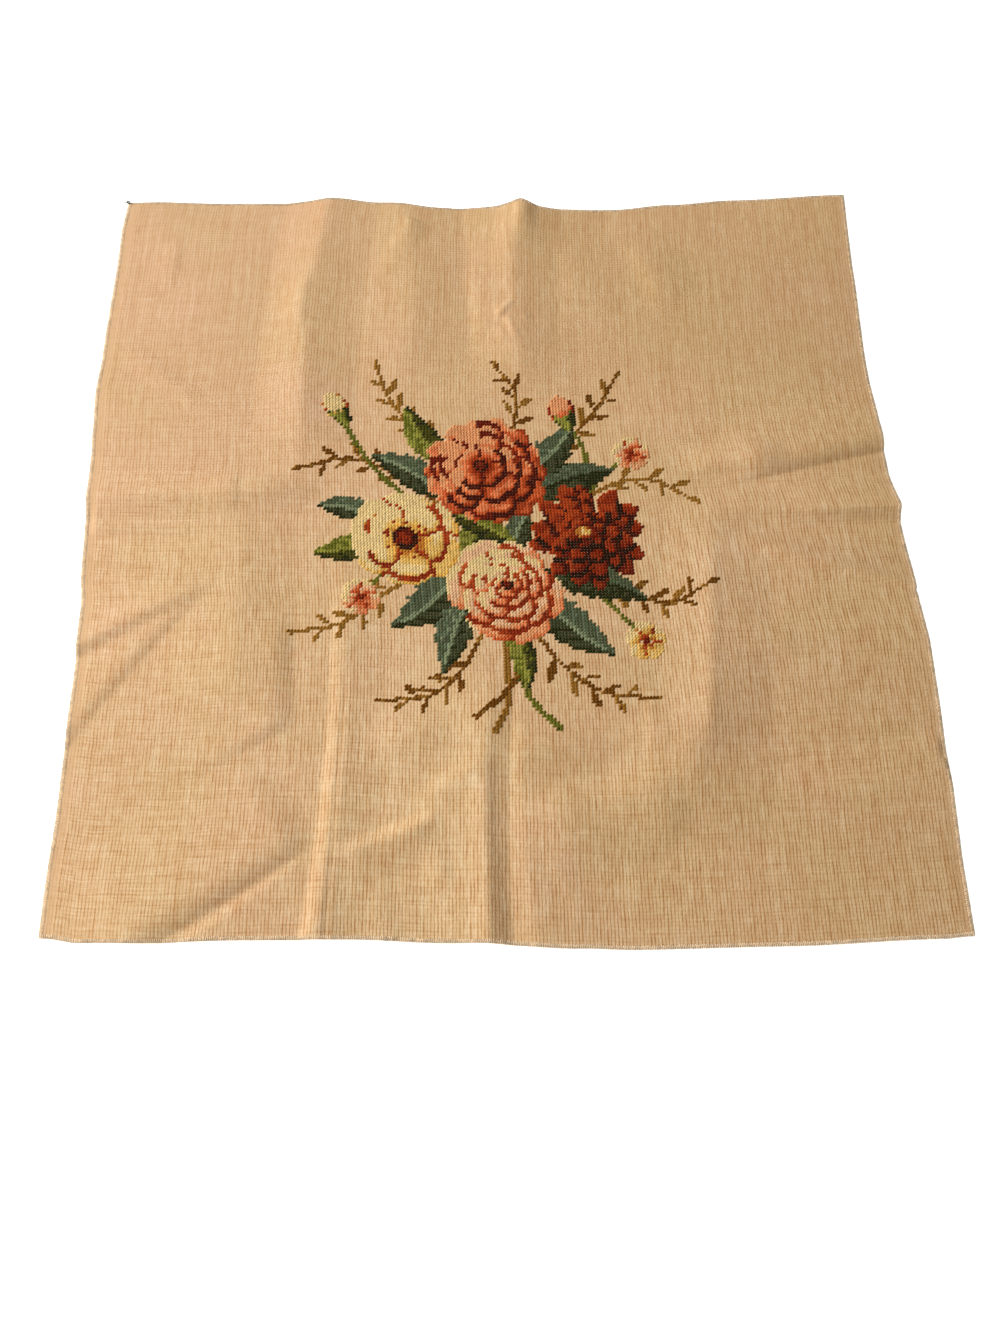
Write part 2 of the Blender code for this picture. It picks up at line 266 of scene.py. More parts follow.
def on_cloth(gx, gy, h=0.0):
    """World places of mesh coordinates: gx, gy count meshes from the panel's middle, and h
    is the height in millimetres over the top face of the canvas."""
    x, y = plan(gx / MESHES_ACROSS + 0.5, gy / MESHES_UP + 0.5)
    z = relief(x, y) + UNDER_GAP + CANVAS_THICKNESS + h
    return np.stack([x - MID_X, y - MID_Y, z], -1) * MM


def srgb(colour):
    """Linear colour of an 8-bit sRGB one."""
    c = np.array(colour, float) / 255.0
    lin = np.where(c <= 0.04045, c / 12.92, ((c + 0.055) / 1.055) ** 2.4)
    return (float(lin[0]), float(lin[1]), float(lin[2]), 1.0)


def new_mesh(name, verts, faces, smooth=True, uvs=None):
    """An object from arrays: verts (n, 3), faces (m, 3 or 4), uvs one pair for each vertex."""
    mesh = bpy.data.meshes.new(name)
    verts = np.asarray(verts, np.float32)
    faces = np.asarray(faces, np.int32)
    per = faces.shape[1]
    mesh.vertices.add(len(verts))
    mesh.vertices.foreach_set("co", verts.ravel())
    mesh.loops.add(faces.size)
    mesh.loops.foreach_set("vertex_index", faces.ravel())
    mesh.polygons.add(len(faces))
    mesh.polygons.foreach_set("loop_start", np.arange(0, faces.size, per, dtype=np.int32))
    mesh.polygons.foreach_set("loop_total", np.full(len(faces), per, np.int32))
    mesh.update(calc_edges=True)
    mesh.validate()
    if uvs is not None:
        layer = mesh.uv_layers.new(name="weave")
        layer.uv.foreach_set("vector", np.asarray(uvs, np.float32)[faces.ravel()].ravel())
    mesh.polygons.foreach_set("use_smooth", np.full(len(mesh.polygons), smooth))
    obj = bpy.data.objects.new(name, mesh)
    bpy.context.scene.collection.objects.link(obj)
    return obj


# ---- chart: a generic bouquet on the mesh grid -------------------------------
CHART_W, CHART_H = 140, 136            # stitches
OFF_X, OFF_Y = 70, 68                  # the chart's middle
CHART_SHIFT = (0, -2)                  # meshes, of the chart's middle from the panel's

YARNS = {                              # wool, sRGB
    "cream": (250, 220, 156), "straw": (243, 200, 112), "gold": (226, 172, 78), "ochre": (188, 118, 42),
    "blush": (248, 200, 154), "peach": (242, 168, 114), "salmon": (228, 130, 80), "coral": (202, 90, 44),
    "rust": (168, 62, 20), "brick": (140, 42, 10), "maroon": (106, 24, 6), "wine": (72, 18, 6),
    "umber": (44, 20, 10),
    "sage": (128, 140, 106), "seafoam": (98, 112, 86), "teal": (80, 91, 64), "deepteal": (62, 69, 42),
    "bottle": (38, 44, 16),
    "lime": (144, 142, 58), "moss": (104, 106, 30), "darkmoss": (68, 68, 14),
    "olive": (150, 104, 36), "bark": (114, 68, 8),
}
YARN_INDEX = {name: i + 1 for i, name in enumerate(YARNS)}

RAMPS = {                              # from lightest to darkest
    "peach": ("cream", "blush", "peach", "salmon", "coral", "rust", "brick"),
    "gold": ("cream", "cream", "straw", "gold", "ochre", "rust", "brick"),
    "red": ("peach", "salmon", "coral", "rust", "brick", "maroon", "wine"),
    "dark": ("rust", "brick", "brick", "maroon", "maroon", "wine", "umber"),
    "teal": ("sage", "seafoam", "teal", "teal", "deepteal", "bottle"),
    "green": ("lime", "lime", "moss", "moss", "darkmoss", "bottle"),
    "sprig": ("olive", "olive", "bark"),
    "mossy": ("moss", "darkmoss", "bottle"),
}
LIGHT = (-0.6, 0.8)                    # where the drawn light comes from

GX, GY = np.meshgrid(np.arange(CHART_W) - OFF_X + 0.5, np.arange(CHART_H) - OFF_Y + 0.5)
chart = np.zeros((CHART_H, CHART_W), int)


def grain(seed):
    """A repeatable value from -0.5 to 0.5 for each stitch."""
    n = np.sin(GX * 12.9898 + GY * 78.233 + seed * 37.719) * 43758.5453
    return n - np.floor(n) - 0.5


def turned(x0, y0, angle):
    """Chart coordinates seen from (x0, y0), the first along angle in degrees."""
    a = math.radians(angle)
    dx, dy = GX - x0, GY - y0
    return dx * math.cos(a) + dy * math.sin(a), dy * math.cos(a) - dx * math.sin(a)


def facing(angle):
    """How far the direction and its left side face the light, from -1 to 1."""
    a = math.radians(angle)
    return (math.cos(a) * LIGHT[0] + math.sin(a) * LIGHT[1],
            -math.sin(a) * LIGHT[0] + math.cos(a) * LIGHT[1])


def work(mask, ramp, dark, seed=0.0, grainy=0.04):
    """Works the masked stitches in a ramp's yarns: dark runs from 0, lightest, to 1."""
    names = RAMPS[ramp]
    level = np.clip(dark + grain(seed) * grainy, 0.0, 0.999)
    pick = np.floor(level * len(names)).astype(int)
    table = np.array([YARN_INDEX[n] for n in names])
    chart[mask] = table[pick[mask]]


def smooth(a, b, v):
    t = np.clip((v - a) / (b - a), 0.0, 1.0)
    return t * t * (3.0 - 2.0 * t)


def petal(x0, y0, angle, length, width, ramp, shade, seed, notch=0.0, point=0.0, bloom=None):
    """One petal from its root at (x0, y0), light at its lip and dark at its root. It casts
    a one-stitch shadow on what is already worked of its own bloom."""
    u, v = turned(x0, y0, angle)
    t = np.clip(u / length, 0.0, 1.0)
    half = 0.5 * width * np.sin(np.pi * t ** (1.55 - 0.4 * point)) ** (0.55 + 0.35 * point)
    lip = 1.0 - notch * np.exp(-((v / (0.2 * width)) ** 2))
    mask = (u > 0.0) & (u / length < lip) & (np.abs(v) < half)
    front, side = facing(angle)
    if bloom is not None:
        wide = 0.5 * width * np.sin(np.pi * np.clip(u / (length + 1.2), 0, 1) ** 1.5) ** 0.5 + 1.1
        cast = (u > 0.25 * length) & (u < length + 1.2) & (np.abs(v) < wide) & bloom & ~mask
        away = -front * (u / length - 0.5) * 2.0 - side * np.sign(v)
        work(cast & (away > -0.75), ramp, 0.80 + 0.12 * away + 0.5 * shade, seed + 5.0)
        bloom |= mask
    across = v / np.maximum(half, 0.3)
    rim = np.minimum(half - np.abs(v), (lip - t) * length)
    dark = 0.66 - 0.50 * smooth(0.10, 0.80, t) - 0.14 * side * across - 0.10 * front
    dark += 0.10 * np.exp(-((v / (0.10 * width)) ** 2)) * (1.0 - smooth(0.45, 0.85, t))
    near_light = across * side + (t - 0.5) * 2.0 * front
    dark += np.where(rim < 1.25, np.where(near_light > 0.0, -0.13, 0.15), 0.0)
    work(mask, ramp, dark + shade, seed)
    return mask


# Rings of a full flower, from outside in. Sizes are shares of its radius.
#  petals  root out  length  width  shade   turn  notch
PEONY = [
    (7, 0.36, 0.66, 0.80, 0.10, 10.0, 0.16),
    (6, 0.20, 0.62, 0.74, 0.02, 40.0, 0.14),
    (5, 0.08, 0.54, 0.62, -0.06, 15.0, 0.12),
    (4, 0.00, 0.38, 0.46, 0.04, 50.0, 0.10),
]
DAHLIA = [
    (13, 0.40, 0.62, 0.36, 0.08, 4.0, 0.0),
    (11, 0.22, 0.58, 0.34, 0.00, 18.0, 0.0),
    (9, 0.10, 0.46, 0.30, -0.05, 5.0, 0.0),
    (6, 0.02, 0.30, 0.24, 0.06, 20.0, 0.0),
]
ANEMONE = [
    (6, 0.08, 0.92, 0.94, 0.04, 28.0, 0.06),
    (5, 0.04, 0.70, 0.72, -0.02, 62.0, 0.06),
]
CAMELLIA = [
    (6, 0.34, 0.70, 0.86, 0.10, 0.0, 0.05),
    (6, 0.22, 0.60, 0.70, 0.02, 30.0, 0.05),
    (5, 0.12, 0.48, 0.56, -0.04, 12.0, 0.05),
    (4, 0.04, 0.36, 0.42, 0.00, 40.0, 0.05),
    (3, 0.00, 0.22, 0.28, 0.10, 20.0, 0.00),
]


def flower(x0, y0, radius, rings, ramp, lean, seed, point=0.0):
    """A full flower, its inner rings leaning by a share of its radius."""
    bloom = np.zeros(GX.shape, bool)
    for k, (count, root, length, width, shade, turn, notch) in enumerate(rings):
        share = k / max(1, len(rings) - 1)
        cx, cy = x0 + lean[0] * radius * share, y0 + lean[1] * radius * share
        order = sorted(range(count), key=lambda i: math.sin(math.radians(turn + 360.0 * i / count + 70.0)))
        for n, i in enumerate(order[::-1]):
            wob = math.sin(seed * 7.1 + i * 2.3 + k * 1.7)
            angle = turn + 360.0 * i / count + 5.0 * wob
            a = math.radians(angle)
            reach = 1.0 + 0.06 * math.sin(seed * 3.3 + i * 4.1 + k)
            petal(cx + root * radius * math.cos(a), cy + root * radius * math.sin(a), angle,
                  length * radius * reach, width * radius, ramp, shade + 0.05 * wob,
                  seed + i + 10 * k, notch, point, bloom)
    return bloom


def disc(x0, y0, rx, ry, ramp, low, high, seed):
    """A flower's middle: a low dome, dark round its foot."""
    r = np.hypot((GX - x0) / rx, (GY - y0) / ry)
    lit = ((GX - x0) * LIGHT[0] + (GY - y0) * LIGHT[1]) / max(rx, ry)
    work(r < 1.0, ramp, low + (high - low) * smooth(0.2, 1.0, r) - 0.22 * lit, seed, 0.4)


def stamens(x0, y0, radius, count, yarn, seed):
    for i in range(count):
        a = 2 * math.pi * i / count + 0.4 * math.sin(seed + i)
        r = radius * (1.0 + 0.18 * math.sin(seed * 2 + i * 3.0))
        x = int(round(x0 + r * math.cos(a) + OFF_X - 0.5))
        y = int(round(y0 + r * math.sin(a) + OFF_Y - 0.5))
        chart[y, x] = YARN_INDEX[yarn]


def leaf(x0, y0, angle, length, width, bend, ramp, shade=0.0, teeth=0, seed=0.0):
    """A leaf from its stalk end, its midrib bowed by bend, one half lighter, veins faint."""
    u, v = turned(x0, y0, angle)
    t = np.clip(u / length, 0.0, 1.0)
    v = v - bend * 4.0 * t * (1.0 - t)
    half = 0.5 * width * np.sin(np.pi * t ** 0.85) ** 0.85 * (1.0 - 0.25 * t)
    if teeth:
        half = half * (0.88 + 0.22 * ((t * teeth) % 1.0))
    mask = (u > 0.0) & (u < length) & (np.abs(v) < half)
    lit = np.where(v * facing(angle)[1] > 0, 1.0, -1.0)
    dark = 0.52 - 0.18 * lit + shade + 0.10 * smooth(0.5, 1.0, t)
    vein = ((u + np.abs(v) * 0.9) / 4.6) % 1.0
    dark += np.where(vein < 0.24, -0.16 * lit, 0.0)
    dark += 0.22 * smooth(0.66, 1.0, np.abs(v) / np.maximum(half, 0.3)) * (lit < 0)
    dark = np.where((np.abs(v) < 0.62) & (t < 0.88), 0.04 if shade < 0.1 else 0.95, dark)
    work(mask, ramp, dark, seed, 0.10)


def spline(s, p, at):
    """Smooth values between a few, by cubic Hermite pieces."""
    m = np.gradient(p, s)
    k = np.clip(np.searchsorted(s, at, side="right") - 1, 0, len(s) - 2)
    h = s[k + 1] - s[k]
    t = (at - s[k]) / h
    return ((2 * t**3 - 3 * t**2 + 1) * p[k] + (t**3 - 2 * t**2 + t) * h * m[k]
            + (-2 * t**3 + 3 * t**2) * p[k + 1] + (t**3 - t**2) * h * m[k + 1])


def stem(points, ramp, dark, thick=1.0):
    """A stem through a few places of the chart."""
    pts = np.array(points, float)
    seg = np.r_[0, np.cumsum(np.hypot(*np.diff(pts, axis=0).T))]
    way = np.arange(0.0, seg[-1], 0.25)
    xs, ys = spline(seg, pts[:, 0], way), spline(seg, pts[:, 1], way)
    for x, y in zip(xs, ys):
        d = np.hypot(GX - x, GY - y)
        work(d < 0.38 + 0.4 * thick, ramp, np.full(GX.shape, dark), 3.0, 0.3)
    return xs, ys


def leaflet(x0, y0, angle, length, ramp, dark, seed):
    u, v = turned(x0, y0, angle)
    t = np.clip((u - 1.4) / length, 0.0, 1.0)
    half = 0.17 * length * np.sin(np.pi * t) ** 0.7
    mask = ((u > 1.4) & (u < length + 1.4) & (np.abs(v) < half)) | ((u > 0.0) & (u <= 2.6) & (np.abs(v) < 0.45))
    work(mask, ramp, np.full(GX.shape, dark), seed, 0.3)


def sprig(points, pairs, size, ramp, dark, spread=46.0, seed=0.0):
    """A thin stem with small leaflets, one side after the other, and one at its tip."""
    xs, ys = stem(points, ramp, dark, 0.6)
    n = len(xs)
    for k in range(2 * pairs):
        at = int((0.30 + 0.64 * (k + 0.5) / (2 * pairs)) * (n - 1))
        b, a = min(at + 3, n - 1), max(at - 3, 0)
        along = math.degrees(math.atan2(ys[b] - ys[a], xs[b] - xs[a]))
        sgn = 1 if k % 2 else -1
        s = size * (1.0 - 0.30 * k / (2 * pairs)) * (1.0 + 0.14 * math.sin(seed + 3.1 * k))
        leaflet(xs[at], ys[at], along + sgn * (spread + 7 * math.sin(seed + k * 2.0)), s, ramp,
                dark + 0.30 * math.sin(seed * 5 + k * 1.3), seed + k)
    along = math.degrees(math.atan2(ys[-1] - ys[-6], xs[-1] - xs[-6]))
    leaflet(xs[-1], ys[-1], along, size * 0.8, ramp, dark, seed)


def bud(x0, y0, angle, size, ramp, seed):
    """A closed bud: petals folded over each other in a green cup."""
    a = math.radians(angle)
    bloom = np.zeros(GX.shape, bool)
    for turn, shift, shade in ((9.0, -0.22, 0.10), (-9.0, 0.22, 0.04), (0.0, 0.0, -0.12)):
        petal(x0 - math.sin(a) * shift * size - 2.0 * math.cos(a), y0 + math.cos(a) * shift * size - 2.0 * math.sin(a),
              angle + turn, size * 1.45, size * 0.80, ramp, shade, seed + turn, 0.0, 0.6, bloom)
    for turn, length in ((-24.0, 0.95), (24.0, 0.95), (0.0, 0.75)):
        leaf(x0 - 3.2 * math.cos(a), y0 - 3.2 * math.sin(a), angle + turn,
             size * length, size * 0.36, 0.0, "green", 0.12 if turn < 0 else -0.1, 0, seed)


def blossom(x0, y0, radius, ramp, turn, seed):
    """A small five-petalled blossom."""
    bloom = np.zeros(GX.shape, bool)
    for i in range(5):
        angle = turn + 72.0 * i
        a = math.radians(angle)
        petal(x0 + 0.10 * radius * math.cos(a), y0 + 0.10 * radius * math.sin(a), angle, radius,
              radius * 0.95, ramp, -0.06 + 0.08 * (i % 2), seed + i, 0.12, 0.0, bloom)
    disc(x0, y0, radius * 0.26, radius * 0.26, "dark", 0.3, 0.9, seed)


#  points of the stem, pairs of leaflets, their size, ramp, darkness, spread, seed
SPRIGS = [
    ([(-14, 8), (-32, 21), (-46, 26), (-59, 23)], 4, 6.6, "sprig", 0.75, 46.0, 1.0),
    ([(-12, 22), (-26, 40), (-33, 50), (-36, 58)], 4, 6.6, "sprig", 0.25, 46.0, 2.0),
    ([(4, 30), (9, 44), (9, 54), (5, 60)], 3, 6.2, "sprig", 0.70, 44.0, 3.0),
    ([(12, 22), (26, 36), (36, 47), (42, 57)], 4, 6.6, "sprig", 0.75, 46.0, 4.0),
    ([(26, 12), (42, 20), (52, 20), (61, 14)], 3, 6.4, "sprig", 0.25, 46.0, 5.0),
    ([(24, -10), (42, -20), (53, -23), (62, -19)], 4, 6.4, "sprig", 0.75, 46.0, 6.0),
    ([(-22, -12), (-40, -24), (-50, -32), (-61, -34)], 4, 6.6, "sprig", 0.25, 46.0, 7.0),
    ([(6, -28), (18, -44), (28, -51), (40, -53)], 4, 6.4, "sprig", 0.75, 46.0, 8.0),
    ([(-6, -32), (-14, -46), (-23, -54), (-34, -56)], 4, 6.4, "sprig", 0.75, 46.0, 9.0),
]
STEMS = [
    ([(1, -26), (3, -44), (8, -56), (15, -63)], "mossy", 0.2, 1.3),
    ([(-1, -26), (0, -44), (0, -56), (-4, -65)], "sprig", 0.1, 1.2),
    ([(4, -30), (5, -42), (-1, -53), (-10, -61)], "sprig", 0.8, 1.0),
    ([(-24, 10), (-36, 20), (-44, 32), (-47, 38)], "mossy", 0.2, 1.0),
    ([(28, 14), (31, 27), (30, 34), (27, 40)], "mossy", 0.2, 1.0),
    ([(24, -12), (36, -26), (42, -34)], "mossy", 0.2, 0.8),
    ([(-26, -8), (-38, -16), (-43, -22)], "mossy", 0.2, 0.8),
    ([(26, 10), (38, 24), (45, 29)], "mossy", 0.2, 0.8),
]
LEAVES = [
    #  x      y     angle  length width bend  ramp  shade teeth seed
    (-12.0, -12.0, 222.0, 31.0, 15.0, 2.0, "teal", 0.04, 6, 1.0),
    (-10.0, -22.0, 250.0, 27.0, 13.0, -1.5, "teal", 0.00, 6, 2.0),
    (12.0, -20.0, 318.0, 29.0, 15.0, -2.0, "teal", 0.04, 6, 3.0),
    (14.0, -12.0, 343.0, 33.0, 14.0, 2.0, "teal", 0.12, 6, 4.0),
    (12.0, 14.0, 20.0, 30.0, 14.0, 2.0, "teal", 0.10, 6, 5.0),
    (10.0, 22.0, 47.0, 27.0, 13.0, -1.5, "teal", 0.02, 6, 6.0),
    (-16.0, 14.0, 150.0, 27.0, 13.0, -2.0, "teal", 0.04, 6, 7.0),
    (-14.0, 26.0, 122.0, 25.0, 12.0, 2.0, "green", 0.00, 0, 8.0),
    (-38.0, -2.0, 196.0, 22.0, 10.0, 1.5, "green", 0.00, 0, 9.0),
    (-38.0, 4.0, 166.0, 20.0, 10.0, -1.5, "teal", 0.04, 5, 10.0),
    (-8.0, 6.0, 262.0, 20.0, 9.0, 1.0, "green", 0.00, 0, 11.0),
    (10.0, 8.0, 250.0, 18.0, 10.0, -1.0, "teal", 0.04, 4, 12.0),
    (-14.0, 8.0, 330.0, 24.0, 10.0, 1.0, "green", 0.06, 0, 14.0),
    (2.0, -32.0, 282.0, 20.0, 9.0, 1.2, "green", 0.00, 0, 13.0),
]
BUDS = [
    (-48.0, 41.0, 118.0, 8.5, "gold", 1.0),
    (26.0, 42.0, 106.0, 9.0, "red", 2.0),
]
BLOSSOMS = [
    (43.0, -35.0, 6.0, "gold", 20.0, 1.0),
    (-44.0, -23.0, 5.8, "peach", 50.0, 2.0),
    (46.0, 30.0, 5.8, "peach", 10.0, 3.0),
]
#  x, y, radius, rings, ramp, lean, seed, point
FLOWERS = [
    (-2.0, 23.0, 20.0, PEONY, "red", (-0.08, 0.10), 1.0, 0.0),
    (-29.0, -2.0, 17.5, ANEMONE, "gold", (0.0, 0.0), 4.0, 0.0),
    (1.0, -19.0, 17.5, CAMELLIA, "peach", (0.06, 0.10), 6.0, 0.0),
    (29.0, 1.0, 18.5, DAHLIA, "dark", (-0.05, 0.06), 9.0, 0.8),
]


def draw_chart():
    """Sprigs and stems first, then leaves, then the flowers over them."""
    for row in SPRIGS:
        sprig(*row)
    for row in STEMS:
        stem(*row)
    for row in LEAVES:
        leaf(*row)
    for row in BUDS:
        bud(*row)
    for row in BLOSSOMS:
        blossom(*row)
    for row in FLOWERS:
        flower(*row)
    disc(-3.5, 25.0, 2.6, 2.2, "dark", 0.4, 0.95, 3.0)
    disc(-29.0, -2.0, 4.4, 4.0, "dark", 0.35, 0.95, 5.0)
    stamens(-29.0, -2.0, 6.2, 16, "brick", 2.0)
    disc(2.0, -17.3, 2.0, 1.8, "dark", 0.6, 0.98, 3.0)
    disc(28.0, 2.0, 2.6, 2.4, "gold", 0.3, 0.8, 3.0)


draw_chart()
# ---- end of chart --------------------------------------------------------------


# ---- materials ------------------------------------------------------------------
class Nodes:
    """Short calls for building a material's node tree."""

    def __init__(self, name, roughness=0.9):
        self.mat = bpy.data.materials.new(name)
        self.mat.use_nodes = True
        self.tree = self.mat.node_tree
        self.shader = self.tree.nodes["Principled BSDF"]
        self.shader.inputs["Roughness"].default_value = roughness
        self.shader.inputs["Metallic"].default_value = 0.0
        self.shader.inputs["Specular IOR Level"].default_value = 0.25

    def put(self, kind, **settings):
        node = self.tree.nodes.new(kind)
        for key, value in settings.items():
            setattr(node, key, value)
        return node

    def link(self, value, socket):
        if isinstance(value, bpy.types.NodeSocket):
            self.tree.links.new(value, socket)
        else:
            socket.default_value = value

    def math(self, op, a, b=0.0, c=0.0, clamp=False):
        node = self.put("ShaderNodeMath", operation=op, use_clamp=clamp)
        for k, value in enumerate((a, b, c)):
            self.link(value, node.inputs[k])
        return node.outputs[0]

    def noise(self, vector, scale, detail=2.0, rough=0.5):
        node = self.put("ShaderNodeTexNoise")
        self.link(vector, node.inputs["Vector"])
        node.inputs["Scale"].default_value = scale
        node.inputs["Detail"].default_value = detail
        node.inputs["Roughness"].default_value = rough
        return node.outputs["Fac"]

    def xyz(self, x, y, z=0.0):
        node = self.put("ShaderNodeCombineXYZ")
        for k, value in enumerate((x, y, z)):
            self.link(value, node.inputs[k])
        return node.outputs[0]

    def span(self, value, a, b, c=0.0, d=1.0, smooth=True):
        node = self.put("ShaderNodeMapRange", clamp=True)
        node.interpolation_type = "SMOOTHSTEP" if smooth else "LINEAR"
        self.link(value, node.inputs[0])
        for k, number in enumerate((a, b, c, d)):
            self.link(number, node.inputs[k + 1])
        return node.outputs[0]

    def mix(self, share, a, b, kind="MIX"):
        node = self.put("ShaderNodeMix", data_type="RGBA", blend_type=kind)
        self.link(share, node.inputs[0])
        self.link(a, node.inputs[6])
        self.link(b, node.inputs[7])
        return node.outputs[2]

    def grey(self, value):
        node = self.put("ShaderNodeCombineColor")
        for k in range(3):
            self.link(value, node.inputs[k])
        return node.outputs[0]

    def bump(self, height, distance, strength=1.0):
        node = self.put("ShaderNodeBump")
        node.inputs["Strength"].default_value = strength
        node.inputs["Distance"].default_value = distance
        self.link(height, node.inputs["Height"])
        self.link(node.outputs[0], self.shader.inputs["Normal"])


def canvas_material():
    """Double-thread canvas: pairs of threads both ways with open squares between them. The
    weave map counts meshes, so a whole number is the middle of a gap."""
    n = Nodes("canvas_weave", 0.88)
    uv = n.put("ShaderNodeUVMap", uv_map="weave").outputs[0]
    split = n.put("ShaderNodeSeparateXYZ")
    n.link(uv, split.inputs[0])
    place = n.put("ShaderNodeTexCoord").outputs["Object"]

    # Threads wander a little off their lines.
    wander = n.noise(place, 55.0, 3.0, 0.6)
    u = n.math("ADD", split.outputs[0], n.math("MULTIPLY", n.math("SUBTRACT", wander, 0.5), 0.60))
    wander2 = n.noise(n.xyz(split.outputs[1], split.outputs[0]), 0.14, 3.0, 0.6)
    v = n.math("ADD", split.outputs[1], n.math("MULTIPLY", n.math("SUBTRACT", wander2, 0.5), 0.70))

    def pair(coordinate):
        """Height across a pair of round threads, 1 on each thread's crown."""
        off = n.math("ABSOLUTE", n.math("SUBTRACT", n.math("FRACT", coordinate), 0.5))
        x = n.math("DIVIDE", n.math("ABSOLUTE", n.math("SUBTRACT", off, 0.155)), 0.175)
        return n.math("SQRT", n.math("MAXIMUM", n.math("SUBTRACT", 1.0, n.math("MULTIPLY", x, x)), 0.0))

    upright, level = pair(u), pair(v)
    cross = n.math("MULTIPLY", n.math("SINE", n.math("MULTIPLY", u, math.pi)),
                   n.math("SINE", n.math("MULTIPLY", v, math.pi)))
    high = n.math("MULTIPLY", upright, n.math("MULTIPLY_ADD", cross, 0.16, 0.84))
    low = n.math("MULTIPLY", level, n.math("MULTIPLY_ADD", cross, -0.16, 0.62))
    height = n.math("MAXIMUM", high, low)

    # The gaps between the pairs open and close along their length, so that they show as broken dark lines, mostly
    # upright;
    # their darkness is painted shade, the shadow inside the open weave. Each thread has its own tone, which drifts
    # along it.
    def gap(coordinate):
        """1 in the middle of a gap between two pairs, 0 on the pairs."""
        off = n.math("ABSOLUTE", n.math("SUBTRACT", n.math("FRACT", n.math("ADD", coordinate, 0.5)), 0.5))
        return n.span(off, 0.03, 0.30, 1.0, 0.0)

    near_u, near_v = n.math("FLOOR", n.math("ADD", u, 0.5)), n.math("FLOOR", n.math("ADD", v, 0.5))
    open_u = n.noise(n.xyz(n.math("MULTIPLY", near_u, 0.83), n.math("MULTIPLY", v, 0.17)), 1.0, 3.0, 0.6)
    open_v = n.noise(n.xyz(n.math("MULTIPLY", u, 0.11), n.math("MULTIPLY", near_v, 0.83), 11.0), 1.0, 3.0, 0.6)
    gap_u, gap_v = gap(u), gap(v)
    gap_shade = n.math("MULTIPLY", gap_u, n.span(open_u, 0.32, 0.70, 0.06, 0.42))
    gap_shade_v = n.math("MULTIPLY", gap_v, n.span(open_v, 0.42, 0.72, 0.0, 0.10))
    hole_shade = n.math("MULTIPLY", n.math("MULTIPLY", gap_u, gap_v), 0.06)

    tone_u = n.noise(n.xyz(n.math("MULTIPLY", near_u, 0.71), n.math("MULTIPLY", v, 0.030), 23.0), 1.0, 2.0)
    tone_v = n.noise(n.xyz(n.math("MULTIPLY", u, 0.040), n.math("MULTIPLY", near_v, 0.71), 7.0), 1.0, 2.0)
    fine_u = n.noise(n.xyz(n.math("MULTIPLY", u, 1.9), n.math("MULTIPLY", v, 0.16), 3.0), 1.0, 3.0, 0.6)
    fine_v = n.noise(n.xyz(n.math("MULTIPLY", u, 0.13), n.math("MULTIPLY", v, 1.9), 31.0), 1.0, 3.0, 0.6)
    slub = n.span(n.noise(n.xyz(n.math("MULTIPLY", u, 0.050), n.math("MULTIPLY", v, 1.1), 19.0), 1.0, 3.0), 0.62, 0.74)
    slub_u = n.span(n.noise(n.xyz(n.math("MULTIPLY", u, 1.1), n.math("MULTIPLY", v, 0.060), 43.0), 1.0, 3.0), 0.62, 0.74)
    soil = n.noise(place, 7.0, 3.0)
    cloud = n.noise(place, 16.0, 4.0, 0.6)

    warm, yellow, pink = srgb(CANVAS_WARM), srgb(CANVAS_YELLOW), srgb(CANVAS_PINK)
    base = n.mix(n.span(soil, 0.38, 0.62), yellow, warm)
    base = n.mix(n.math("MULTIPLY", n.span(cloud, 0.5, 0.72), 0.45), base, pink)
    # Toward its right half, away from the key light, the colour is painted a little darker and less blue: painted
    # shade.
    base = n.mix(n.span(split.outputs[0], 60.0, 230.0), base,
                 n.mix(1.0, base, (0.995, 0.98, 0.92, 1.0), "MULTIPLY"))

    # Its far left part, nearest the key light, is painted darker: painted shade. Two oval parts are painted paler:
    # painted light.
    corner = n.math("MULTIPLY", n.span(split.outputs[0], 30.0, 120.0, 1.0, 0.0), n.span(split.outputs[1], 90.0, 220.0))
    base = n.mix(corner, base, n.mix(1.0, base, (0.935, 0.920, 0.955, 1.0), "MULTIPLY"))

    def patch(x, y, wide, deep):
        """1 in the middle of an oval part of the cloth, in meshes, 0 past its rim."""
        dx = n.math("DIVIDE", n.math("SUBTRACT", split.outputs[0], x), wide)
        dy = n.math("DIVIDE", n.math("SUBTRACT", split.outputs[1], y), deep)
        return n.span(n.math("ADD", n.math("MULTIPLY", dx, dx), n.math("MULTIPLY", dy, dy)), 0.2, 1.2, 1.0, 0.0)

    # Painted light: two oval parts of the cloth are made paler.
    painted_light_patches = n.math("MAXIMUM", patch(106.0, 40.0, 30.0, 62.0), n.math("MULTIPLY", patch(196.0, 146.0, 58.0, 56.0), 0.75))
    base = n.mix(painted_light_patches, base, n.mix(1.0, base, (1.06, 1.075, 1.095, 1.0), "MULTIPLY"))
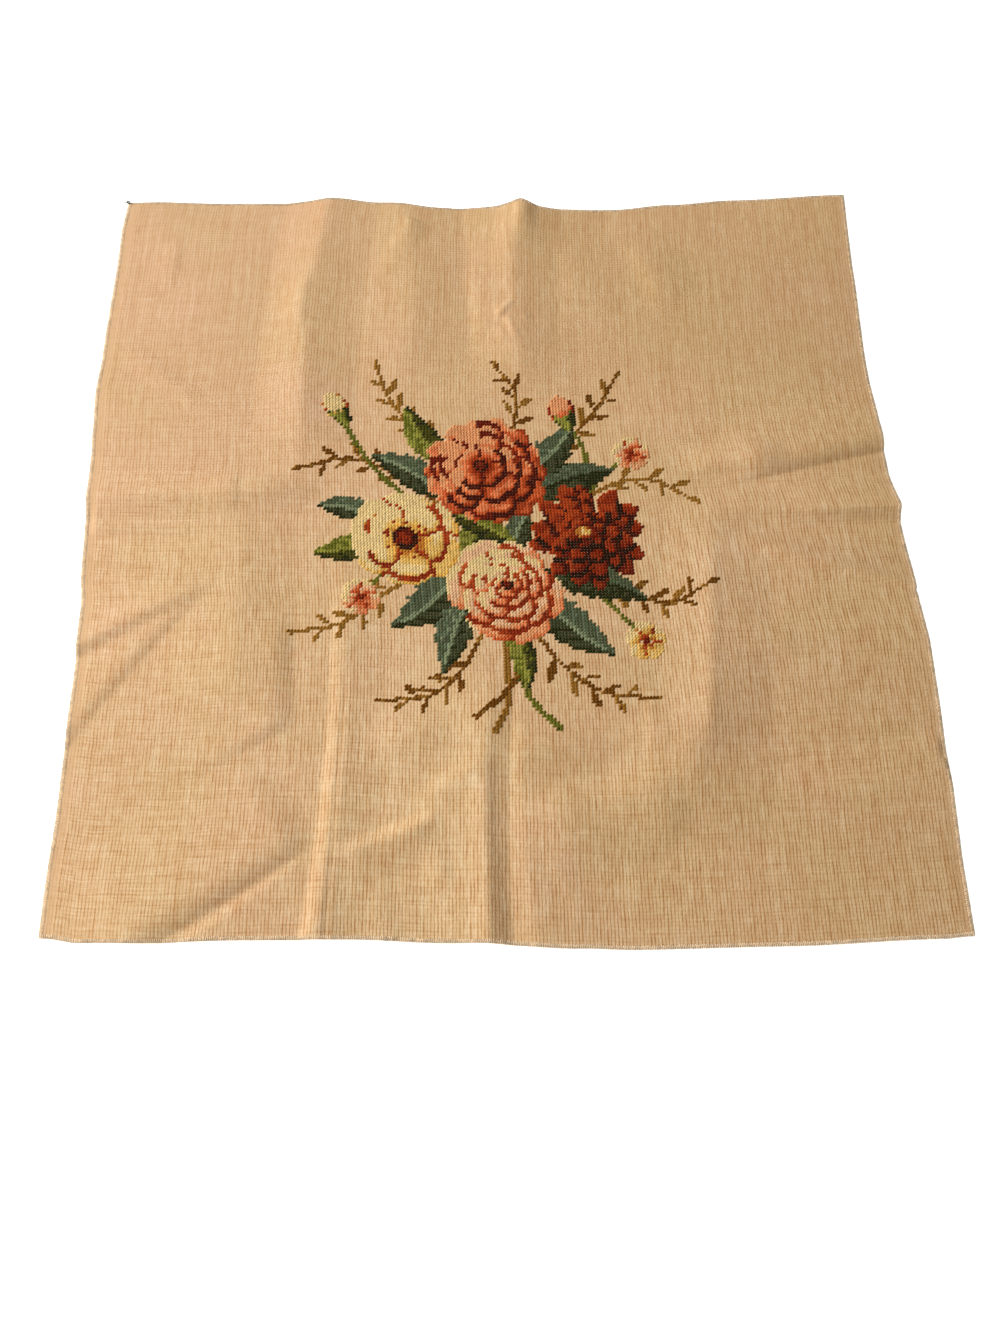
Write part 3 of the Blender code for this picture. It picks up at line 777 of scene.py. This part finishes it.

    # Toward the far edge the weave's bump is lower and the painted shade in its gaps fainter. Toward the left
    # selvedge the level threads stand out more than the upright ones.
    strong_u = n.math("MULTIPLY", n.span(split.outputs[1], 120.0, 250.0, 1.21, 0.64, False),
                      n.span(split.outputs[0], 0.0, 120.0, 0.70, 1.0))
    right = n.math("SUBTRACT", n.span(split.outputs[1], 40.0, 120.0, 0.95, 1.16), 1.0)
    strong_u = n.math("MULTIPLY", strong_u, n.math("MULTIPLY_ADD", right, n.span(split.outputs[0], 130.0, 220.0), 1.0))
    gaps = n.math("MULTIPLY", strong_u, n.span(split.outputs[1], 90.0, 220.0, 1.0, 0.60))
    own = n.math("MAXIMUM", strong_u, n.math("MULTIPLY", n.span(split.outputs[1], 100.0, 220.0, 0.6, 1.12),
                                             n.span(split.outputs[0], 40.0, 130.0, 0.78, 1.0)))
    strong_v = n.math("MULTIPLY", n.span(split.outputs[1], 20.0, 230.0, 1.15, 0.50, False),
                      n.span(split.outputs[0], 0.0, 150.0, 1.45, 1.0))

    light_u = n.math("MULTIPLY_ADD", n.math("SUBTRACT", tone_u, 0.5), 0.34, n.math("MULTIPLY", slub_u, 0.07))
    light_u = n.math("MULTIPLY_ADD", n.math("SUBTRACT", fine_u, 0.5), 0.34, light_u)
    light_v = n.math("MULTIPLY_ADD", n.math("SUBTRACT", tone_v, 0.5), 0.19, n.math("MULTIPLY", slub, 0.07))
    light_v = n.math("MULTIPLY_ADD", n.math("SUBTRACT", fine_v, 0.5), 0.28, light_v)
    mid_u = n.noise(n.xyz(n.math("MULTIPLY", u, 0.75), n.math("MULTIPLY", v, 0.20), 57.0), 1.0, 2.0)
    light_u = n.math("MULTIPLY_ADD", n.math("SUBTRACT", mid_u, 0.5), 0.20, light_u)
    light = n.math("MULTIPLY_ADD", light_u, own, n.math("MULTIPLY_ADD", light_v, strong_v, 1.0))
    light = n.math("MULTIPLY_ADD", n.math("SUBTRACT", cloud, 0.5), 0.08, light)
    mottle = n.math("MULTIPLY", n.math("SUBTRACT", n.noise(place, 240.0, 3.0, 0.65), 0.5),
                    n.span(split.outputs[1], 60.0, 240.0, 0.05, 0.16))
    light = n.math("ADD", light, mottle)
    # Painted shade: the gaps and holes of the weave darken the colour here.
    dark = n.math("MULTIPLY_ADD", n.math("ADD", gap_shade, hole_shade), gaps, n.math("MULTIPLY", gap_shade_v, strong_v))
    dark = n.math("ADD", dark, n.math("MULTIPLY_ADD", gaps, -0.10, 0.10))
    depth = n.math("SUBTRACT", 1.06, n.math("MINIMUM", dark, 0.8))
    # Pale threads are creamier and shadowed ones browner: blue changes most with the tone.
    tone = n.math("MULTIPLY", light, depth)
    shade = n.put("ShaderNodeCombineColor")
    for k, (power, level) in enumerate(((0.73, 0.9965), (1.36, 1.0065), (2.10, 1.009))):
        n.link(n.math("MULTIPLY", n.math("POWER", tone, power), level), shade.inputs[k])
    colour = n.mix(1.0, base, shade.outputs[0], "MULTIPLY")

    # The selvedges are woven tight and smooth, with a straw-coloured outer band.
    from_left, from_right = split.outputs[0], n.math("SUBTRACT", float(MESHES_ACROSS), split.outputs[0])
    band_l = n.math("SUBTRACT", 1.0, n.span(from_left, 3.2, 3.9))
    band_r = n.math("SUBTRACT", 1.0, n.span(from_right, 2.4, 3.1))
    ribs = n.noise(n.xyz(n.math("MULTIPLY", u, 3.0), n.math("MULTIPLY", v, 0.5), 5.0), 1.0, 3.0)
    tight = n.mix(n.span(ribs, 0.35, 0.65), srgb((214, 174, 128)), srgb((224, 182, 140)))
    band = n.math("MAXIMUM", n.math("MULTIPLY", band_l, 0.62), n.math("MULTIPLY", band_r, 0.30))
    colour = n.mix(band, colour, tight)
    n.link(colour, n.shader.inputs["Base Color"])

    fuzz = n.noise(place, 2600.0, 2.0)
    flat = n.math("SUBTRACT", 1.0, band)
    flat = n.math("MULTIPLY", flat, n.math("MINIMUM", strong_u, 1.0))
    n.bump(n.math("MULTIPLY_ADD", fuzz, 0.12, n.math("MULTIPLY", height, flat)), 0.00045, 0.8)
    n.shader.inputs["Sheen Weight"].default_value = 0.08
    n.shader.inputs["Sheen Roughness"].default_value = 0.5
    return n.mat


def wool_material(name, colour, depth=1.0):
    """Twisted tapestry wool: a soft mottled colour, matt, with a fine fibre bump."""
    n = Nodes("wool_" + name, 0.92)
    place = n.put("ShaderNodeTexCoord").outputs["Object"]
    blotch = n.noise(place, 420.0, 2.0)
    hue = n.noise(place, 60.0, 2.0)
    most = min(1.12, 246.0 / max(colour))
    lighter = srgb(tuple(c * most for c in colour))
    darker = srgb(tuple(c * 0.86 for c in colour))
    shade = n.math("ADD", n.math("MULTIPLY", n.span(blotch, 0.3, 0.7), 0.7),
                   n.math("MULTIPLY", n.span(hue, 0.35, 0.65), 0.3))
    n.link(n.mix(shade, darker, lighter), n.shader.inputs["Base Color"])
    n.bump(n.noise(place, 3200.0, 3.0), 0.00012, 0.7 * depth)
    n.shader.inputs["Specular IOR Level"].default_value = 0.08
    n.shader.inputs["Sheen Weight"].default_value = 0.04
    n.shader.inputs["Sheen Roughness"].default_value = 0.45
    return n.mat


def thread_material(name, colour):
    """Smooth cotton thread."""
    n = Nodes(name, 0.75)
    place = n.put("ShaderNodeTexCoord").outputs["Object"]
    tone = n.noise(place, 240.0, 3.0)
    n.link(n.mix(n.span(tone, 0.3, 0.7), srgb(tuple(c * 0.86 for c in colour)), srgb(colour)),
           n.shader.inputs["Base Color"])
    n.bump(n.noise(place, 4200.0, 2.0), 0.00008, 0.5)
    return n.mat


# ---- the canvas --------------------------------------------------------------------
def spaced(cells, low, high, bands):
    """Shares of a side where its cells meet, closer inside the bands. An even number of
    cells halved gives every second share."""
    at = np.linspace(low, high, 4001)
    dense = 1.0 + sum(CLOSER * ease((at - a + 4.0) / 8.0) * ease((b + 4.0 - at) / 8.0) for a, b in bands)
    way = np.r_[0.0, np.cumsum((dense[1:] + dense[:-1]) / 2.0)]
    return np.interp(np.linspace(0.0, way[-1], cells + 1), way, np.linspace(0.0, 1.0, 4001))


def cloth_grid(across, up, h):
    """Grid of the sheet at a height over its face: places, weave map and triangles."""
    s, t = np.meshgrid(spaced(across, -330.0, 330.0, CLOSE_X), spaced(up, -328.0, 322.0, CLOSE_Y))
    gx, gy = (s - 0.5) * MESHES_ACROSS, (t - 0.5) * MESHES_UP
    i, j = np.meshgrid(np.arange(across), np.arange(up))
    a = (j * (across + 1) + i).ravel()
    b, c, d = a + 1, a + across + 2, a + across + 1
    odd = ((i + j) % 2 == 1).ravel()[:, None]
    first = np.where(odd, np.stack([a, b, d], 1), np.stack([a, b, c], 1))
    second = np.where(odd, np.stack([b, c, d], 1), np.stack([a, c, d], 1))
    uv = np.stack([(gx + MESHES_ACROSS / 2).ravel(), (gy + MESHES_UP / 2).ravel()], 1)
    return on_cloth(gx, gy, h).reshape(-1, 3), uv, np.concatenate([first, second])


def grid_ring(across, up):
    """Indices round a grid's border, anticlockwise from its near left corner."""
    w, h = across + 1, up + 1
    return np.r_[np.arange(w), np.arange(2 * w - 1, w * h, w), np.arange(w * h - 2, w * (h - 1) - 1, -1),
                 np.arange(w * (h - 2), 0, -w)]


def build_canvas():
    """A closed thin sheet. Its top has cells half as wide as its underside's."""
    top, uv, faces = cloth_grid(CELLS_ACROSS, CELLS_UP, 0.0)
    under, uv_under, under_faces = cloth_grid(CELLS_ACROSS // 2, CELLS_UP // 2, -CANVAS_THICKNESS)
    fine = grid_ring(CELLS_ACROSS, CELLS_UP)
    coarse = grid_ring(CELLS_ACROSS // 2, CELLS_UP // 2) + len(top)
    f0, f1, f2 = fine[0::2], fine[1::2], np.roll(fine[0::2], -1)
    c0, c1 = coarse, np.roll(coarse, -1)
    rim = np.concatenate([np.stack(tri, 1) for tri in ((f0, c0, f1), (c0, c1, f1), (f1, c1, f2))])
    faces = np.concatenate([faces, under_faces[:, ::-1] + len(top), rim])
    obj = new_mesh("canvas_cloth", np.concatenate([top, under]), faces, True, np.concatenate([uv, uv_under]))
    obj.data.materials.append(canvas_material())
    return obj


# ---- the stitches ---------------------------------------------------------------------
STITCH_STEPS = 6               # rings along a stitch
STITCH_AROUND = 7              # points over its back
STITCH_REACH = 0.60            # meshes, from a stitch's middle to where it dives, each way
STITCH_HALF = 0.43             # meshes, half its width
STITCH_HEIGHT = 0.85           # mm, its crown over the canvas
STITCH_SINK = -0.35            # mm, its ends under the canvas's face


def stitch_shape():
    """One tent stitch over a crossing, as two twisted plies seen as one grooved back: along,
    across, in meshes, and height in millimetres."""
    rows = []
    for i in range(STITCH_STEPS):
        t = i / (STITCH_STEPS - 1)
        along = (t * 2.0 - 1.0) * STITCH_REACH * math.sqrt(2.0)
        rise = math.sin(math.pi * min(max(t, 0.0), 1.0)) ** 0.6
        width = STITCH_HALF * (0.62 + 0.38 * rise)
        for k in range(STITCH_AROUND):
            a = math.pi * k / (STITCH_AROUND - 1)
            groove = 1.0 - 0.20 * (0.5 + 0.5 * math.cos(2.0 * (a - math.pi * (0.25 + 0.5 * t)) + math.pi)) ** 4
            across = width * math.cos(a)
            height = STITCH_SINK + (STITCH_HEIGHT - STITCH_SINK) * rise * (0.25 + 0.75 * math.sin(a) * groove)
            rows.append((along, across, height))
    return np.array(rows)


def build_stitches():
    shape = stitch_shape()
    per = len(shape)
    i, k = np.meshgrid(np.arange(STITCH_STEPS - 1), np.arange(STITCH_AROUND - 1), indexing="ij")
    a = (i * STITCH_AROUND + k).ravel()
    quad = np.stack([a, a + STITCH_AROUND, a + STITCH_AROUND + 1, a + 1], 1)
    made = []
    for name, index in YARN_INDEX.items():
        rows, cols = np.nonzero(chart == index)
        if not len(rows):
            continue
        cx = cols - OFF_X + 0.5 + CHART_SHIFT[0]
        cy = rows - OFF_Y + 0.5 + CHART_SHIFT[1]
        # The panel's middle falls on a mesh or between two, so the chart is set on whole meshes.
        cx = cx + (0.5 if MESHES_ACROSS % 2 else 0.0)
        rnd = np.sin(cols * 91.7 + rows * 37.3 + index) * 4371.3
        rnd = rnd - np.floor(rnd)
        rnd2 = np.sin(cols * 17.1 + rows * 71.9 + index * 3.0) * 9127.7
        rnd2 = rnd2 - np.floor(rnd2)
        angle = math.radians(45.0) + (rnd - 0.5) * 0.16
        plump = 0.90 + 0.20 * rnd2
        along, across, height = shape[:, 0], shape[:, 1], shape[:, 2]
        ca, sa = np.cos(angle)[:, None], np.sin(angle)[:, None]
        wide = across[None, :] * plump[:, None]
        gx = cx[:, None] + along[None, :] * ca - wide * sa
        gy = cy[:, None] + along[None, :] * sa + wide * ca
        h = height[None, :] * (0.92 + 0.16 * rnd[:, None])
        verts = on_cloth(gx, gy, h).reshape(-1, 3)
        faces = (quad[None] + (np.arange(len(rows)) * per)[:, None, None]).reshape(-1, 4)
        obj = new_mesh("wool_" + name, verts, faces, True)
        obj.data.materials.append(wool_material(name, YARNS[name]))
        made.append(obj)
    return made


# ---- the edges --------------------------------------------------------------------------
def tube(path, radius, sides=6, closed_ends=True):
    """Verts and quads of a round tube along path, an array (n, 3) in metres."""
    path = np.asarray(path, float)
    along = np.gradient(path, axis=0)
    along /= np.maximum(np.linalg.norm(along, axis=1, keepdims=True), 1e-12)
    up = np.array([0.0, 0.0, 1.0])
    first = np.cross(along, up)
    bad = np.linalg.norm(first, axis=1) < 1e-3
    first[bad] = np.cross(along[bad], np.array([1.0, 0.3, 0.0]))
    first /= np.linalg.norm(first, axis=1, keepdims=True)
    for k in range(1, len(first)):
        if np.dot(first[k], first[k - 1]) < 0:
            first[k] *= -1
    second = np.cross(first, along)
    radius = np.broadcast_to(radius, (len(path),))
    ang = 2 * math.pi * np.arange(sides) / sides
    ring = (np.cos(ang)[None, :, None] * first[:, None] + np.sin(ang)[None, :, None] * second[:, None])
    verts = (path[:, None] + ring * radius[:, None, None]).reshape(-1, 3)
    i, k = np.meshgrid(np.arange(len(path) - 1), np.arange(sides), indexing="ij")
    a, b = i * sides + k, i * sides + (k + 1) % sides
    quads = np.stack([a, a + sides, b + sides, b], -1).reshape(-1, 4)
    return verts, quads


#  edge, wraps along it, meshes along it, depth onto the cloth in meshes, radius in mm
EDGES = [
    ("left", 512, 256, 1.10, 0.52),
    ("right", 512, 256, 0.95, 0.48),
    ("far", 518, 259, 0.80, 0.52),
    ("near", 518, 259, 0.95, 0.52),
]


def edge_place(edge, along, inward, h):
    """A place near an edge: along it in meshes from its start, inward in meshes, h in mm."""
    w, d = MESHES_ACROSS / 2, MESHES_UP / 2
    along = np.asarray(along, float)
    inward = np.asarray(inward, float)
    if edge == "left":
        return on_cloth(-w + inward, -d + along, h)
    if edge == "right":
        return on_cloth(w - inward, -d + along, h)
    if edge == "far":
        return on_cloth(-w + along, d - inward, h)
    return on_cloth(-w + along, -d + inward, h)


def build_edging():
    """Close slanting wraps of the edge thread, each from the cloth's face round its edge."""
    verts, quads, base = [], [], 0
    for edge, count, meshes, depth, radius in EDGES:
        step = meshes / count
        for k in range(count):
            wob = math.sin(k * 12.9898 + len(edge)) * 43758.5453
            wob = wob - math.floor(wob)
            t = np.linspace(0.0, 1.0, 7)
            reach = depth * (0.86 + 0.28 * wob)
            stops = [0.0, 0.18, 0.5, 0.66, 0.82, 1.0]
            inward = np.interp(t, stops, [reach, reach * 0.85, 0.05, -0.12, 0.0, 0.40])
            h = np.interp(t, stops, [-0.50, 0.02, 0.08, -0.30, -0.66, -0.70])
            along = (k + 0.5) * step + 0.45 * (t - 0.5) + 0.08 * (wob - 0.5)
            v, q = tube(edge_place(edge, along, inward, h), radius * MM, 6)
            verts.append(v)
            quads.append(q + base)
            base += len(v)
    obj = new_mesh("edge_overcasting", np.concatenate(verts), np.concatenate(quads), True)
    # Pale straw, the thread's own colour, set lighter still: painted light against the shade on the wraps' outer sides.
    obj.data.materials.append(thread_material("edging_thread", (253, 226, 190)))
    return obj


def build_edge_cords():
    """The grey-green thread laid along the two selvedges and held by the overcasting."""
    verts, quads, base = [], [], 0
    for edge, rows in (("left", 256), ("right", 256)):
        at = np.linspace(0.3, rows - 0.3, 320)
        wave = 0.05 * np.sin(at * 2.1) + 0.04 * np.sin(at * 0.37)
        path = edge_place(edge, at, -0.08 + wave, -0.05 + 0.1 * np.sin(at * 1.3))
        v, q = tube(path, 0.32 * MM, 6)
        verts.append(v)
        quads.append(q + base)
        base += len(v)
    obj = new_mesh("edge_cord", np.concatenate(verts), np.concatenate(quads), True)
    # The cord's own grey-green, set much paler: painted light against the shade at the cloth's edge.
    obj.data.materials.append(thread_material("edge_cord_thread", (240, 234, 214)))
    return obj


def build_tail():
    """The end of the edge thread, knotted at the far left corner."""
    corner = edge_place("left", MESHES_UP - 0.2, 0.1, 0.4) * 1000.0
    t = np.linspace(0.0, 1.0, 40)
    knot = np.stack([1.3 * np.sin(t * 4 * math.pi) - 0.3, 1.1 * np.cos(t * 4 * math.pi) + 0.4,
                     0.5 + 0.5 * np.sin(t * 6 * math.pi)], 1)
    tail_t = np.linspace(0.0, 1.0, 14)
    tail = np.stack([-0.3 - 2.6 * tail_t - 0.8 * tail_t**2, 0.8 - 0.6 * np.sin(tail_t * 3.0), 0.9 - 1.1 * tail_t**2], 1)
    verts, quads, base = [], [], 0
    for path in (knot, tail):
        v, q = tube((corner + path) * MM, 0.42 * MM, 6)
        verts.append(v)
        quads.append(q + base)
        base += len(v)
    obj = new_mesh("corner_thread_tail", np.concatenate(verts), np.concatenate(quads), True)
    obj.data.materials.append(thread_material("corner_thread", (112, 122, 102)))
    return obj


cloth = build_canvas()
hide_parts("canvas")
wool = build_stitches()
edging = build_edging()
cords = build_edge_cords()
tail = build_tail()

for piece in [cloth, *wool, edging, cords, tail]:
    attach(piece, "root")


# ---- floor, light and camera -----------------------------------------------------------
def build_floor():
    mesh = bpy.data.meshes.new("floor")
    r = 6.0
    mesh.from_pydata([(-r, -r, 0.0), (r, -r, 0.0), (r, r, 0.0), (-r, r, 0.0)], [], [(0, 1, 2, 3)])
    obj = bpy.data.objects.new("floor", mesh)
    bpy.context.scene.collection.objects.link(obj)
    n = Nodes("floor_white", 0.9)
    n.shader.inputs["Base Color"].default_value = (0.93, 0.93, 0.92, 1.0)
    n.shader.inputs["Emission Color"].default_value = (1.0, 1.0, 1.0, 1.0)
    n.shader.inputs["Emission Strength"].default_value = 0.95
    mesh.materials.append(n.mat)
    return obj


def area_light(name, place, aim, size, power, colour=(1.0, 1.0, 1.0)):
    data = bpy.data.lights.new(name, "AREA")
    data.shape = "SQUARE"
    data.size = size
    data.energy = power
    data.color = colour
    obj = bpy.data.objects.new(name, data)
    obj.location = place
    obj.rotation_mode = "QUATERNION"
    obj.rotation_quaternion = (Vector(aim) - Vector(place)).to_track_quat("-Z", "Y")
    bpy.context.scene.collection.objects.link(obj)
    return obj


build_floor()
area_light("key", (-2.0, 0.65, 1.36), (0.1, 0.0, 0.0), 0.82, 60.5, (1.0, 1.0, 1.0))
area_light("fill", (-0.82, -0.79, 1.5), (0.0, 0.0, 0.0), 1.1, 8.7, (1.0, 0.975, 0.91))

world = bpy.data.worlds.new("studio")
bpy.context.scene.world = world
world.use_nodes = True
world.node_tree.nodes["Background"].inputs[0].default_value = (1.0, 0.95, 0.85, 1.0)
world.node_tree.nodes["Background"].inputs[1].default_value = 0.19

# The camera stands over the near edge and looks down at about 70 degrees.
CAMERA_PITCH, CAMERA_ROLL, CAMERA_YAW = 1.2288, 3.08e-02, -4.6e-02
CAMERA_PLACE = (-0.0138, -0.3904, 0.75)
CAMERA_LENS = 1038.117 * 36.0 / 1333.0


def build_camera():
    cp, sp = math.cos(CAMERA_PITCH), math.sin(CAMERA_PITCH)
    turn = Matrix.Rotation(CAMERA_YAW, 3, "Z")
    ahead = turn @ Vector((0.0, cp, -sp))
    up0 = turn @ Vector((0.0, sp, cp))
    right0 = turn @ Vector((1.0, 0.0, 0.0))
    c, s = math.cos(CAMERA_ROLL), math.sin(CAMERA_ROLL)
    right, up = c * right0 + s * up0, -s * right0 + c * up0
    data = bpy.data.cameras.new("camera")
    data.lens = CAMERA_LENS
    data.sensor_width = 36.0
    data.sensor_fit = "AUTO"
    data.clip_start, data.clip_end = 0.05, 50.0
    obj = bpy.data.objects.new("camera", data)
    basis = Matrix((right, up, -ahead)).transposed().to_4x4()
    place = Vector(CAMERA_PLACE) - Vector((MID_X, MID_Y, 0.0)) * MM
    obj.matrix_world = Matrix.Translation(place) @ basis
    bpy.context.scene.collection.objects.link(obj)
    bpy.context.scene.camera = obj


build_camera()
view = bpy.context.scene.view_settings
view.view_transform = "Standard"
view.look = "None"
view.exposure = 0.0
